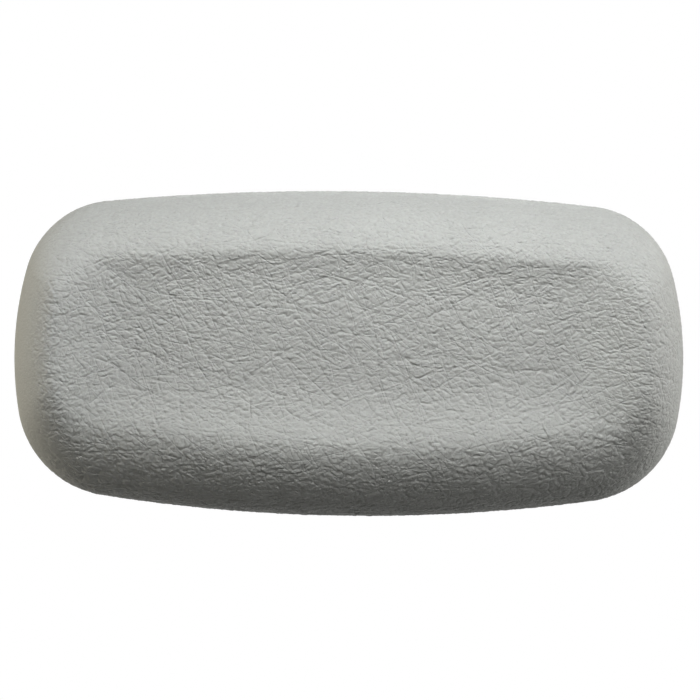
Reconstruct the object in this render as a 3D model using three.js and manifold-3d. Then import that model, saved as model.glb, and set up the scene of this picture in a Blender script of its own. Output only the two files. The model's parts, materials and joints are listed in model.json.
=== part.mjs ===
// Moulded bath pillow: a dished foam headrest in a grained skin, held on the bath wall by suction cups.
// Millimetres. +X is right and +Z up as seen by the bather, +Y points at the wall, and Y = 0 is the wall
// plane that the cup rims meet. Inside the pillow, depth is measured forwards from its flat back.
import * as THREE from "three";
import { mergeVertices } from "three/addons/utils/BufferGeometryUtils.js";
import Module from "manifold-3d";

const wasm = await Module();
wasm.setup();

// Clearance between pieces that touch
const fitGap = 0.3;

// Pillow outline, seen from the front: four bowed edges joined by four round corners
const pillowWidth = 300;
const pillowHeight = 146;
const topBowRadius = 1060;
const bottomBowRadius = 760;
const sideBowRadius = 150;
const widestLineDrop = 2.3;
const topCornerRadius = 41;
const bottomCornerRadius = 45;

// Padded roll that runs round the front, from the parting line to its crest. A fullness of 2 makes its
// section elliptical, and a lower one makes it flatter.
const topRollWidth = 28;
const bottomRollWidth = 34;
const sideRollWidth = 22;
const topRollFullness = 1.4;
const bottomRollFullness = 1.85;
const sideRollFullness = 1.75;
const crestTopCorner = 20;
const crestBottomCorner = 20;

// Dish for the head, from the crest down to its flat floor. Each lip is the crest's height over the floor,
// and the bottom lip bulges in the middle for the neck.
const topLip = 2;
const bottomLip = 3.5;
const sideLip = 11;
const neckBulge = 5.5;
const topSlopeWidth = 17;
const bottomSlopeWidth = 28;
const sideSlopeWidth = 32;
const floorTopCorner = 15;
const floorBottomCorner = 15;
const floorDepth = 43;

// Moulded skin, its rounded rear edge and the rebate that takes the rear panel
const skinThickness = 2;
const partingDepth = 14;
const rearEdgeWidth = 8;
const rearLandWidth = 1.5;
const rearPanelThickness = 2;
const lipWidth = 5;
const lipThickness = 3;

// Anchor plate with bosses, stiffening ribs and holes that the foam grips
const plateThickness = 3;
const bossHeight = 2;
const bossWall = 2.2;
const ribThickness = 2;
const ribHeight = 4;
const ribOffset = 12;
const ribEndMargin = 22;
const lockHoleRadius = 5;
const lockHoleCount = 5;

// Sockets that clip through the panel and the plate and hold the cups' heads
const flangeRadius = 13;
const flangeThickness = 1.6;
const mouthThickness = 2.4;
const socketWall = 1.6;
const socketEndWall = 1.5;
const snapBead = 0.7;
const beadLength = 1.8;
const headRoom = 0.9;
const mouthPlay = 0.4;
const headPlay = 0.6;

// Suction cups, set in from the pillow's sides and from its top and bottom
const cupSideMargin = 62;
const cupEdgeMargin = 44.5;
const cupRadius = 20;
const cupRimWidth = 1.4;
const cupLipThickness = 1;
const cupHeight = 10.5;
const hollowDepth = 5.5;
const shoulderRadius = 7.2;
const neckRadius = 4;
const headRadius = 6.2;
const headHeight = 5.5;
const tabWidth = 9;
const tabReach = 7.5;
const tabThickness = 1.2;
const tabRecess = 0.4;

// Facets
const bowSteps = 4;
const cornerSteps = 5;
const sideSteps = 6;
const roundSides = 28;
const smallRoundSides = 20;
const curveSteps = 6;

// Depths worked out from the stack of rear panel, plate and foam
const rebateDepth = rearPanelThickness + fitGap;
const plateFront = rebateDepth + plateThickness;
const lipFront = rebateDepth + lipThickness;
const foamBack = Math.max(plateFront, lipFront) + fitGap;
const rebateInset = rearEdgeWidth + rearLandWidth;
const lipInset = rebateInset + lipWidth;

// Insets and depths of the socket, and the height of the pillow's back off the wall
const mouthRadius = neckRadius + mouthPlay;
const chamberRadius = headRadius + headPlay;
const barrelRadius = chamberRadius + socketWall;
const beadRadius = barrelRadius + snapBead;
const socketHoleRadius = barrelRadius + fitGap;
const bossRadius = socketHoleRadius + bossWall;
const flangeOuterFace = fitGap + flangeThickness;
const mouthFront = mouthThickness - flangeOuterFace;
const neckLength = mouthThickness + 2 * fitGap;
const beadBack = plateFront + bossHeight + fitGap;
const headEnd = mouthFront + fitGap + headHeight;
const socketFront = Math.max(headEnd + headRoom + socketEndWall, beadBack + beadLength);
const chamberFront = socketFront - socketEndWall;
const wallStandoff = cupHeight + fitGap + flangeOuterFace;

const skinGrey = new THREE.MeshStandardMaterial({ color: 0xa9a9a5, roughness: 0.55, metalness: 0 });
const panelGrey = new THREE.MeshStandardMaterial({ color: 0x9a9a96, roughness: 0.7, metalness: 0 });
const foamCream = new THREE.MeshStandardMaterial({ color: 0xcfcabb, roughness: 0.95, metalness: 0 });
const plateBlack = new THREE.MeshStandardMaterial({ color: 0x2d2e30, roughness: 0.6, metalness: 0 });
const socketWhite = new THREE.MeshStandardMaterial({ color: 0xd8d8d4, roughness: 0.45, metalness: 0 });
const clearVinyl = new THREE.MeshStandardMaterial({ color: 0xdde5e3, roughness: 0.2, metalness: 0 });

// Solid from a closed geometry, and geometry from a solid
function solidOf(geometry) {
  const bare = geometry.clone();
  bare.deleteAttribute("normal");
  bare.deleteAttribute("uv");
  const merged = mergeVertices(bare, 1e-4);
  const vertProperties = merged.attributes.position.array;
  const triVerts = new Uint32Array(merged.index.array);
  return new wasm.Manifold(new wasm.Mesh({ numProp: 3, vertProperties, triVerts }));
}

function geometryOf(solid) {
  const mesh = solid.getMesh();
  const geometry = new THREE.BufferGeometry();
  geometry.setAttribute("position", new THREE.BufferAttribute(mesh.vertProperties, 3));
  geometry.setIndex(new THREE.BufferAttribute(mesh.triVerts, 1));
  return geometry;
}

// Centre of the right-hand corner arc that touches a bow and the side from the inside
function cornerCentre(bowCentre, bowRadius, sideCentre, sideRadius, corner) {
  const reachBow = bowRadius - corner;
  const reachSide = sideRadius - corner;
  const between = new THREE.Vector2().subVectors(sideCentre, bowCentre);
  const distance = between.length();
  const along = (reachBow ** 2 - reachSide ** 2 + distance ** 2) / (2 * distance);
  const across = Math.sqrt(reachBow ** 2 - along ** 2);
  const unit = between.divideScalar(distance);
  const side = new THREE.Vector2(-unit.y, unit.x).multiplyScalar(across);
  const foot = bowCentre.clone().addScaledVector(unit, along);
  const choices = [foot.clone().add(side), foot.clone().sub(side)];
  return choices[0].x > choices[1].x ? choices[0] : choices[1];
}

function arc(centre, radius, from, to, steps) {
  return Array.from({ length: steps }, (_, i) => {
    const angle = from + ((to - from) * i) / steps;
    return new THREE.Vector2(centre.x + radius * Math.cos(angle), centre.y + radius * Math.sin(angle));
  });
}

// Closed outline of a bowed rounded rectangle, anticlockwise from the middle of its bottom edge
function outline({ right, top, bottom, topBow, bottomBow, sideBow, drop, topCorner, bottomCorner }) {
  const widest = (top - bottom) * 0.45;
  const upper = Math.min(topCorner, widest);
  const lower = Math.min(bottomCorner, widest);
  const topCentre = new THREE.Vector2(0, top - topBow);
  const bottomCentre = new THREE.Vector2(0, bottom + bottomBow);
  const sideCentre = new THREE.Vector2(right - sideBow, (top + bottom) / 2 - drop);
  const upperCentre = cornerCentre(topCentre, topBow, sideCentre, sideBow, upper);
  const lowerCentre = cornerCentre(bottomCentre, bottomBow, sideCentre, sideBow, lower);
  const angleTo = (from, to) => Math.atan2(to.y - from.y, to.x - from.x);
  const bottomEnd = angleTo(bottomCentre, lowerCentre);
  const sideStart = angleTo(sideCentre, lowerCentre);
  const sideEnd = angleTo(sideCentre, upperCentre);
  const topStart = angleTo(topCentre, upperCentre);
  const half = [
    ...arc(bottomCentre, bottomBow, -Math.PI / 2, bottomEnd, bowSteps),
    ...arc(lowerCentre, lower, bottomEnd, sideStart, cornerSteps),
    ...arc(sideCentre, sideBow, sideStart, sideEnd, sideSteps),
    ...arc(upperCentre, upper, sideEnd, topStart, cornerSteps),
    ...arc(topCentre, topBow, topStart, Math.PI / 2, bowSteps),
  ];
  const mirrored = half.slice(1).map((p) => new THREE.Vector2(-p.x, p.y));
  return [...half, new THREE.Vector2(0, top), ...mirrored.reverse()];
}

// Outline of the pillow, drawn in evenly by an inset
function pillowOutline(inset) {
  return outline({
    right: pillowWidth / 2 - inset,
    top: pillowHeight / 2 - inset,
    bottom: -pillowHeight / 2 + inset,
    topBow: topBowRadius - inset,
    bottomBow: bottomBowRadius - inset,
    sideBow: sideBowRadius - inset,
    drop: widestLineDrop,
    topCorner: topCornerRadius - inset,
    bottomCorner: bottomCornerRadius - inset,
  });
}

const crestRight = pillowWidth / 2 - sideRollWidth;
const crestTop = pillowHeight / 2 - topRollWidth;
const crestBottom = -pillowHeight / 2 + bottomRollWidth;
const crestOutline = outline({
  right: crestRight,
  top: crestTop,
  bottom: crestBottom,
  topBow: topBowRadius - topRollWidth,
  bottomBow: bottomBowRadius - bottomRollWidth,
  sideBow: sideBowRadius - sideRollWidth,
  drop: 0,
  topCorner: crestTopCorner,
  bottomCorner: crestBottomCorner,
});
const floorOutline = outline({
  right: crestRight - sideSlopeWidth,
  top: crestTop - topSlopeWidth,
  bottom: crestBottom + bottomSlopeWidth,
  topBow: topBowRadius - topRollWidth - topSlopeWidth,
  bottomBow: bottomBowRadius - bottomRollWidth - bottomSlopeWidth,
  sideBow: sideBowRadius - sideRollWidth - sideSlopeWidth,
  drop: 0,
  topCorner: floorTopCorner,
  bottomCorner: floorBottomCorner,
});

// How far each point of the crest faces up, down and sideways, in shares that add up to one
const crestShares = crestOutline.map((_, i) => {
  const count = crestOutline.length;
  const ahead = crestOutline[(i + 1) % count];
  const behind = crestOutline[(i + count - 1) % count];
  const outward = new THREE.Vector2(ahead.y - behind.y, behind.x - ahead.x).normalize();
  const upright = outward.y ** 2;
  return { up: outward.y > 0 ? upright : 0, down: outward.y > 0 ? 0 : upright, side: outward.x ** 2 };
});
const crestDepths = crestShares.map(({ up, down, side }, i) => {
  const bulge = neckBulge * Math.max(0, 1 - (crestOutline[i].x / crestRight) ** 2);
  return floorDepth + topLip * up + (bottomLip + bulge) * down + sideLip * side;
});
const rollFullness = crestShares.map(({ up, down, side }) => {
  return topRollFullness * up + bottomRollFullness * down + sideRollFullness * side;
});

// A ring of the pillow: its outline points, each at its own depth
function ring(points, depthAt) {
  return points.map((p, i) => new THREE.Vector3(p.x, -depthAt(p, i), p.y));
}

// Angle on the rear edge's quarter ellipse where it reaches a depth
function rearEdgeAngle(depth) {
  return Math.acos(1 - depth / partingDepth);
}

function rearEdgeRing(inset, angle) {
  const points = pillowOutline(inset + rearEdgeWidth * (1 - Math.sin(angle)));
  return ring(points, () => partingDepth * (1 - Math.cos(angle)));
}

// Rings over the roll, from the parting line to the crest, and on down a hollow slope to the dish floor
function frontRings(inset, rollSteps, slopeSteps) {
  const edge = pillowOutline(inset);
  const crestAt = (i) => crestDepths[i] - inset;
  const rings = [];
  for (let step = 0; step <= rollSteps; step++) {
    const turn = (Math.PI / 2) * (step / rollSteps);
    const points = edge.map((p, i) => crestOutline[i].clone().lerp(p, Math.cos(turn) ** (2 / rollFullness[i])));
    const riseAt = (i) => Math.sin(turn) ** (2 / rollFullness[i]);
    rings.push(ring(points, (_, i) => partingDepth + (crestAt(i) - partingDepth) * riseAt(i)));
  }
  for (let step = 1; step <= slopeSteps; step++) {
    const share = step / slopeSteps;
    const left = (1 - share) ** 2;
    const points = crestOutline.map((p, i) => p.clone().lerp(floorOutline[i], share));
    rings.push(ring(points, (_, i) => THREE.MathUtils.lerp(floorDepth - inset, crestAt(i), left)));
  }
  return rings;
}

// Closed loft through rings of equal count, split along the shorter diagonals, with a fan over each end
function loft(rings) {
  const count = rings[0].length;
  const ends = [rings[0], rings[rings.length - 1]];
  const vertices = rings.flat();
  const triangles = [];
  for (let k = 0; k + 1 < rings.length; k++) {
    for (let i = 0; i < count; i++) {
      const next = (i + 1) % count;
      const [a, b, c, d] = [k * count + i, k * count + next, (k + 1) * count + i, (k + 1) * count + next];
      const straight = vertices[a].distanceTo(vertices[d]) < vertices[b].distanceTo(vertices[c]);
      triangles.push(...(straight ? [a, b, d, a, d, c] : [a, b, c, b, d, c]));
    }
  }
  ends.forEach((end, which) => {
    const middle = end.reduce((sum, p) => sum.add(p), new THREE.Vector3()).divideScalar(count);
    const centre = vertices.push(middle) - 1;
    const first = which ? (rings.length - 1) * count : 0;
    for (let i = 0; i < count; i++) {
      const next = (i + 1) % count;
      triangles.push(centre, first + (which ? i : next), first + (which ? next : i));
    }
  });
  const geometry = new THREE.BufferGeometry().setFromPoints(vertices);
  geometry.setIndex(triangles);
  return geometry;
}

// Flat sheet cut to an outline, with round holes, from one depth forwards
function sheet(points, thickness, depth, holes) {
  const shape = new THREE.Shape(points);
  for (const { x, z, radius } of holes) {
    const circle = arc(new THREE.Vector2(x, z), radius, 0, 2 * Math.PI, smallRoundSides);
    shape.holes.push(new THREE.Path(circle));
  }
  const geometry = new THREE.ExtrudeGeometry(shape, { depth: thickness, bevelEnabled: false });
  return geometry.rotateX(Math.PI / 2).translate(0, -depth, 0);
}

// Round post or ring standing forwards from a depth, and a rib of rectangular section
function post(x, z, radius, depth, length) {
  const geometry = new THREE.CylinderGeometry(radius, radius, length, smallRoundSides);
  return solidOf(geometry.translate(x, -depth - length / 2, z));
}

function rib(width, thickness, z, depth, height) {
  return solidOf(new THREE.BoxGeometry(width, height, thickness).translate(0, -depth - height / 2, z));
}

const cupReach = pillowWidth / 2 - cupSideMargin;
const cupRise = pillowHeight / 2 - cupEdgeMargin;
const cupPlaces = [
  { name: "upper_left", x: -cupReach, z: cupRise },
  { name: "upper_right", x: cupReach, z: cupRise },
  { name: "lower_left", x: -cupReach, z: -cupRise },
  { name: "lower_right", x: cupReach, z: -cupRise },
];
const socketHoles = cupPlaces.map(({ x, z }) => ({ x, z, radius: socketHoleRadius }));

// The lock holes stand in a row between the ribs, spread as widely as the cups
const lockHoles = Array.from({ length: lockHoleCount }, (_, i) => {
  return { x: cupReach * ((2 * i) / (lockHoleCount - 1) - 1), z: 0, radius: lockHoleRadius };
});
const ribLength = pillowWidth - 2 * (lipInset + ribEndMargin);
const ribPlaces = [ribOffset, -ribOffset];

// Grained skin: the dished front, the roll, the rounded rear edge and the lip round the open back
function frontSkin() {
  const innerStart = rearEdgeAngle(lipFront);
  const inner = [
    ring(pillowOutline(lipInset), () => lipFront),
    rearEdgeRing(skinThickness, innerStart),
    ...frontRings(skinThickness, 4, 3),
  ].reverse();
  const outer = [
    ring(pillowOutline(lipInset), () => rebateDepth),
    ring(pillowOutline(rebateInset), () => rebateDepth),
    ring(pillowOutline(rebateInset), () => 0),
    rearEdgeRing(0, 0),
    rearEdgeRing(0, Math.PI / 6),
    rearEdgeRing(0, Math.PI / 3),
    ...frontRings(0, 5, 4),
  ];
  return loft([...inner, ...outer]);
}

// Foam that fills the skin, with seats for the plate's bosses and ribs and pegs through its lock holes
function foamCore() {
  const inset = skinThickness + fitGap;
  const block = loft([rearEdgeRing(inset, rearEdgeAngle(foamBack)), ...frontRings(inset, 4, 3)]);
  const bossSeatLength = socketFront + fitGap - rebateDepth;
  const ribSeat = plateFront + ribHeight + fitGap - rebateDepth;
  let foam = solidOf(block);
  for (const { x, z } of cupPlaces) {
    foam = foam.subtract(post(x, z, bossRadius + fitGap, rebateDepth, bossSeatLength));
  }
  for (const z of ribPlaces) {
    foam = foam.subtract(rib(ribLength + 2 * fitGap, ribThickness + 2 * fitGap, z, rebateDepth, ribSeat));
  }
  for (const { x, z } of lockHoles) {
    foam = foam.add(post(x, z, lockHoleRadius - fitGap, rebateDepth, plateFront));
  }
  return geometryOf(foam);
}

// Stiff plate behind the foam that carries the sockets
function anchorPlate() {
  const flat = sheet(pillowOutline(lipInset + fitGap), plateThickness, rebateDepth, lockHoles);
  let plate = solidOf(flat);
  for (const { x, z } of cupPlaces) {
    plate = plate.add(post(x, z, bossRadius, rebateDepth, plateThickness + bossHeight));
  }
  for (const z of ribPlaces) {
    plate = plate.add(rib(ribLength, ribThickness, z, rebateDepth, plateThickness + ribHeight));
  }
  for (const { x, z } of cupPlaces) {
    plate = plate.subtract(post(x, z, socketHoleRadius, 0, socketFront + plateFront + bossHeight));
  }
  return geometryOf(plate);
}

function rearPanel() {
  return sheet(pillowOutline(rebateInset + fitGap), rearPanelThickness, 0, socketHoles);
}

// Blind socket turned about its own axis: flange, snap bead and a chamber that keeps water out of the foam
function socket() {
  const profile = [
    [0, socketFront],
    [barrelRadius, socketFront],
    [beadRadius, beadBack + snapBead],
    [beadRadius, beadBack],
    [barrelRadius, beadBack],
    [barrelRadius, -fitGap],
    [flangeRadius, -fitGap],
    [flangeRadius, -flangeOuterFace + flangeThickness / 2],
    [flangeRadius - flangeThickness / 2, -flangeOuterFace],
    [mouthRadius, -flangeOuterFace],
    [mouthRadius, mouthFront],
    [chamberRadius, mouthFront],
    [chamberRadius, chamberFront],
    [0, chamberFront],
  ];
  return new THREE.LatheGeometry(
    profile.map(([radius, depth]) => new THREE.Vector2(radius, -depth)),
    smallRoundSides,
  );
}

// Suction cup, measured from its rim towards the pillow: rim, flared bell, shoulder, neck, head and pull tab
function suctionCup() {
  const neckEnd = cupHeight + neckLength;
  const tip = neckEnd + headHeight;
  const flare = new THREE.Vector2((cupRadius + shoulderRadius) * 0.46, cupHeight * 0.29);
  const hollowBend = new THREE.Vector2(cupRadius * 0.55, hollowDepth * 0.95);
  const path = new THREE.Path();
  path.moveTo(0, tip);
  path.quadraticCurveTo(headRadius, tip, headRadius, neckEnd);
  path.lineTo(neckRadius, neckEnd);
  path.lineTo(neckRadius, cupHeight);
  path.lineTo(shoulderRadius, cupHeight);
  path.quadraticCurveTo(flare.x, flare.y, cupRadius, cupLipThickness);
  path.lineTo(cupRadius, 0);
  path.lineTo(cupRadius - cupRimWidth, 0);
  path.quadraticCurveTo(hollowBend.x, hollowBend.y, 0, hollowDepth);
  const profile = path.getPoints(curveSteps).map((p) => new THREE.Vector2(p.x, -p.y));
  const bell = solidOf(new THREE.LatheGeometry(profile, roundSides));

  const rootRadius = cupRadius - cupRimWidth / 2;
  const tongue = new THREE.Shape();
  tongue.moveTo(-tabWidth / 2, -rootRadius);
  tongue.lineTo(-tabWidth / 2, -cupRadius - tabReach + tabWidth / 2);
  tongue.absarc(0, -cupRadius - tabReach + tabWidth / 2, tabWidth / 2, Math.PI, 2 * Math.PI);
  tongue.lineTo(tabWidth / 2, -rootRadius);
  const settings = { depth: tabThickness, bevelEnabled: false, curveSegments: curveSteps };
  const tab = new THREE.ExtrudeGeometry(tongue, settings).rotateX(Math.PI / 2).translate(0, -tabRecess, 0);
  return geometryOf(bell.add(solidOf(tab)));
}

function piece(name, geometry, material) {
  const mesh = new THREE.Mesh(geometry, material);
  mesh.name = name;
  return mesh;
}

const pillow = new THREE.Group();
pillow.position.y = -wallStandoff;
pillow.add(
  piece("front_skin", frontSkin(), skinGrey),
  piece("foam_core", foamCore(), foamCream),
  piece("anchor_plate", anchorPlate(), plateBlack),
  piece("rear_panel", rearPanel(), panelGrey),
);
const bathPillow = new THREE.Group();
bathPillow.add(pillow);
for (const { name, x, z } of cupPlaces) {
  const bush = piece(`socket_${name}`, socket(), socketWhite);
  bush.position.set(x, 0, z);
  pillow.add(bush);
  const cup = piece(`suction_cup_${name}`, suctionCup(), clearVinyl);
  cup.position.set(x, 0, z);
  bathPillow.add(cup);
}

export default bathPillow;
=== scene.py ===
"""Moulded bath pillow: its grained skin, foam, anchor plate, rear panel, sockets and suction cups."""
import itertools
import json
import math

import bmesh
import bpy
import numpy as np
from mathutils import Matrix, Vector


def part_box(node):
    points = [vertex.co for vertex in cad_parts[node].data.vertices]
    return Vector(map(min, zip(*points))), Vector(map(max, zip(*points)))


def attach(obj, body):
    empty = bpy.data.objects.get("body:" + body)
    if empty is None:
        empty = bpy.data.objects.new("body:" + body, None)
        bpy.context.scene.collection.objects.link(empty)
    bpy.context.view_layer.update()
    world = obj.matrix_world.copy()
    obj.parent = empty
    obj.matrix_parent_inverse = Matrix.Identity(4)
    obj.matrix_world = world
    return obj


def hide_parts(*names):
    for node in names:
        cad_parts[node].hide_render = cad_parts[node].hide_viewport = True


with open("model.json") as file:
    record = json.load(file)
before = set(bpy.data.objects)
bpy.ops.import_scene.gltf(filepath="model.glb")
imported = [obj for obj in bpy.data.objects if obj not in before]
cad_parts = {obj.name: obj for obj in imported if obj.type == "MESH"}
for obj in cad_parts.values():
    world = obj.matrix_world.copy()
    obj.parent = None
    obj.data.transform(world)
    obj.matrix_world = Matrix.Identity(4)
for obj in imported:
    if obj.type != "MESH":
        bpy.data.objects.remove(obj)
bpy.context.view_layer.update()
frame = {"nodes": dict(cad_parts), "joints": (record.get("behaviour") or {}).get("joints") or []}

bl_info = {
    "name": "Bath Pillow",
    "version": (1, 0, 0),
    "blender": (4, 5, 0),
    "location": "3D View > Sidebar > Bath Pillow",
    "description": "Builds a moulded bath pillow with a grained skin and suction cups",
    "category": "Add Mesh",
}

SKIN_LOW, SKIN_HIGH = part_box("front_skin")
BACK_Y = SKIN_HIGH.y
CUP_PLACES = {joint["child"].removesuffix("_cup"): joint["pos_m"] for joint in frame["joints"]}
PILLOW_BODY = "pillow"

# Points on each stretch of an outline: half a bow, a corner and a side
BOW_STEPS = 160
CORNER_STEPS = 120
SIDE_STEPS = 120
CORNER_MARK = BOW_STEPS + CORNER_STEPS // 2

# Cells of the skin's grid: over the dish floor, then ring by ring over slope, roll, rear edge and lip
FLOOR_CELLS = (460, 92)
SLOPE_RINGS = 62
ROLL_RINGS = 104
REAR_RINGS = 14
LIP_RINGS = 4

# Coarser cells for the faces that are sealed inside
INNER_FLOOR_CELLS = (44, 10)
INNER_SLOPE_RINGS = 8
INNER_ROLL_RINGS = 12
INNER_REAR_RINGS = 2

SPIN_STEPS = 72
HOLE_SIDES = 64
PANEL_STRIDE = 4

# Passes that round the crest off at a softness of 1
CREST_PASSES = 60

# Strength of the grain: what it loses on the top roll and both ends, gains on the lower roll, and behind
TOP_FADING = 0.5
LEFT_FADING = 0.95
RIGHT_FADING = 0.4
LOWER_GAIN = 0.1
REAR_GRAIN = 0.14

# Smooth noise: cells before it repeats, and its gain to about -1 to 1
LATTICE = 256
NOISE_GAIN = 1.6

# Creases: shares of their run over which they wander and show, least slope of the noise in a spacing,
# reach of the walls in widths, and share of the skin that one crease takes up
WANDER_RUN = 0.6
SHOWN_RUN = 0.7
LEAST_SLOPE = 0.12
WALL_REACH = 2.5
CREASE_SHARE = 0.8
RIPPLE_SPACING = 0.0035
RIPPLE_SEED = 900

# Noise levels between which creases come into sight, for few and for most of them
FEW = (-0.45, 0.2)
MOST = (-0.6, 0.1)

# Scales of creases: name, ways that they run in degrees from level, how many show, and wander in spacings
CREASE_SCALES = (
    ("long", (24, -28, 38, -42, 84, -70), FEW, 0.25),
    ("middle", (6, -12, 27, -30, 45, -48), FEW, 0.35),
    ("small", (0, 10, -12, 24, -26, 42, -44), MOST, 0.5),
    ("fine", (0, 14, -16, 34, -38), MOST, 0.5),
)

# Thin creases in the material: ways that they run, stretch along them, shift from set to set, sharpness
THIN_ANGLES = (6, -10, 32, -37, 60, -66)
THIN_STRETCH = (0.25, 1, 1)
THIN_SHIFT = (0.37, 0.53, 0)
THIN_POWER = 1.6

# Share of clouds, beside specks, in an uneven tone, and glow of the floor for what is seen
CLOUD_SHARE = 0.3
FLOOR_GLOW = 0.95

# Points that draw a cup's flare and hollow, in shares of its radii and heights
FLARE_PULL = (0.46, 0.29)
HOLLOW_PULL = (0.55, 0.95)


def length(description, default):
    return bpy.props.FloatProperty(description=description, default=default, unit="LENGTH", precision=5)


def share(description, default):
    return bpy.props.FloatProperty(description=description, default=default, soft_min=0, soft_max=2)


def colour(description, default):
    return bpy.props.FloatVectorProperty(
        description=description, default=default, size=3, subtype="COLOR", min=0, max=1
    )


class PillowForm(bpy.types.PropertyGroup):
    """Outline, roll, dish and rear edge of the pillow."""

    width: length("Pillow from side to side", 0.3)
    height: length("Pillow from bottom to top", SKIN_HIGH.z - SKIN_LOW.z)
    top_bow: length("Radius of the bowed top edge", 1.06)
    bottom_bow: length("Radius of the bowed bottom edge", 0.76)
    side_bow: length("Radius of the bowed sides", 0.15)
    widest_drop: length("Widest line below the middle", 0.0023)
    top_corner: length("Radius of the upper corners", 0.041)
    bottom_corner: length("Radius of the lower corners", 0.045)
    top_roll: length("Roll width along the top", 0.028)
    bottom_roll: length("Roll width along the bottom", 0.034)
    side_roll: length("Roll width along the sides", 0.022)
    top_fullness: share("Section of the top roll, 2 for an ellipse", 1.4)
    bottom_fullness: share("Section of the bottom roll, 2 for an ellipse", 1.85)
    side_fullness: share("Section of the side rolls, 2 for an ellipse", 1.75)
    crest_corner: length("Corner radius of the roll's crest", 0.02)
    top_lip: length("Crest over the dish floor along the top", 0.002)
    bottom_lip: length("Crest over the dish floor along the bottom", 0.0035)
    side_lip: length("Crest over the dish floor along the sides", 0.011)
    neck_bulge: length("Extra height in the middle of the bottom lip", 0.0055)
    top_slope: length("Width of the dish's top slope", 0.017)
    bottom_slope: length("Width of the dish's bottom slope", 0.028)
    side_slope: length("Width of the dish's side slopes", 0.032)
    hollow: share("How hollow the dish's slopes are, 1 for straight ones", 2.0)
    floor_corner: length("Corner radius of the dish floor", 0.015)
    floor_depth: length("Dish floor in front of the flat back", 0.043)
    parting_depth: length("Widest line in front of the flat back", 0.014)
    rear_edge: length("Width of the rounded rear edge", 0.008)
    rear_land: length("Flat strip between rear edge and rear panel", 0.0015)
    rebate_depth: length("Depth of the seat for the rear panel", 0.0023)
    lip_width: length("Lip round the open back", 0.005)
    lip_front: length("Front face of the lip, from the flat back", 0.0053)
    skin_thickness: length("Wall of the moulded skin", 0.002)
    crest_softness: share("How far the crest is rounded off", 1.5)


class SkinGrain(bpy.types.PropertyGroup):
    """Crumpled grain moulded into the skin: a network of creases at four scales."""

    long_depth: length("Depth of the long creases", 0.00015)
    long_spacing: length("Distance between long creases", 0.019)
    long_run: length("Length of the long creases", 0.1)
    long_width: length("Half width of the long creases", 0.00048)
    middle_depth: length("Depth of the middle creases", 0.00013)
    middle_spacing: length("Distance between middle creases", 0.0085)
    middle_run: length("Length of the middle creases", 0.03)
    middle_width: length("Half width of the middle creases", 0.00044)
    small_depth: length("Depth of the small creases", 0.0001)
    small_spacing: length("Distance between small creases", 0.0046)
    small_run: length("Length of the small creases", 0.009)
    small_width: length("Half width of the small creases", 0.00045)
    fine_depth: length("Depth of the fine creases", 0.00008)
    fine_spacing: length("Distance between fine creases", 0.0027)
    fine_run: length("Length of the fine creases", 0.0055)
    fine_width: length("Half width of the fine creases", 0.0004)
    ripple: length("Waviness of every crease", 0.0005)
    lean: share("How much steeper a crease's lower wall is", 1.3)
    seed: bpy.props.IntProperty(description="Start of the random draws", default=41)


class FittingSizes(bpy.types.PropertyGroup):
    """Rear panel, foam seats, sockets and suction cups."""

    fit_gap: length("Clearance between pieces that touch", 0.0003)
    panel_thickness: length("Rear panel", 0.002)
    edge_round: length("Rounding of moulded edges", 0.0004)
    socket_hole: length("Radius of the holes for the sockets", 0.0087)
    foam_back: length("Back face of the foam, from the flat back", 0.0056)
    boss_radius: length("Bosses of the anchor plate", 0.0109)
    rib_offset: length("Plate's ribs from its middle line", 0.012)
    rib_thickness: length("Plate's ribs", 0.002)
    rib_length: length("Plate's ribs", 0.227)
    rib_front: length("Front of the plate's ribs, from the flat back", 0.0093)
    peg_radius: length("Foam pegs through the plate's lock holes", 0.0047)
    peg_count: bpy.props.IntProperty(description="Foam pegs in a row", default=5)
    flange_radius: length("Socket flange", 0.013)
    flange_thickness: length("Socket flange", 0.0016)
    mouth_radius: length("Opening of the socket", 0.0044)
    mouth_front: length("Inner face of the socket's mouth, from the flat back", 0.0005)
    chamber_radius: length("Room for the cup's head", 0.0068)
    chamber_front: length("End of the chamber, from the flat back", 0.0079)
    barrel_radius: length("Outside of the socket", 0.0084)
    bead: length("Snap bead round the socket", 0.0007)
    bead_back: length("Back of the snap bead, from the flat back", 0.0076)
    socket_front: length("Closed end of the socket, from the flat back", 0.0094)
    cup_radius: length("Suction cup's rim", 0.02)
    rim_width: length("Flat ring of the rim", 0.0014)
    rim_thickness: length("Edge of the cup", 0.001)
    cup_height: length("Cup from rim to shoulder", 0.0105)
    hollow_depth: length("Hollow of the cup", 0.0055)
    shoulder_radius: length("Top of the bell", 0.0072)
    neck_radius: length("Neck in the socket's mouth", 0.004)
    neck_length: length("Neck in the socket's mouth", 0.003)
    head_radius: length("Head in the socket's chamber", 0.0062)
    head_height: length("Head in the socket's chamber", 0.0055)
    tab_width: length("Pull tab", 0.009)
    tab_reach: length("Pull tab past the rim", 0.0075)
    tab_thickness: length("Pull tab", 0.0012)
    tab_recess: length("Pull tab behind the rim's face", 0.0004)


class PillowFinish(bpy.types.PropertyGroup):
    """Colours of the pillow and its fittings."""

    skin: colour("Grained skin", (0.402, 0.405, 0.382))
    rear_skin: colour("Smooth rear panel", (0.34, 0.34, 0.33))
    foam: colour("Soft foam", (0.70, 0.66, 0.56))
    plate: colour("Anchor plate", (0.03, 0.03, 0.033))
    socket: colour("Sockets", (0.66, 0.66, 0.64))
    vinyl: colour("Clear suction cups", (0.80, 0.86, 0.85))
    floor: colour("Studio floor", (0.82, 0.82, 0.82))


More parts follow.
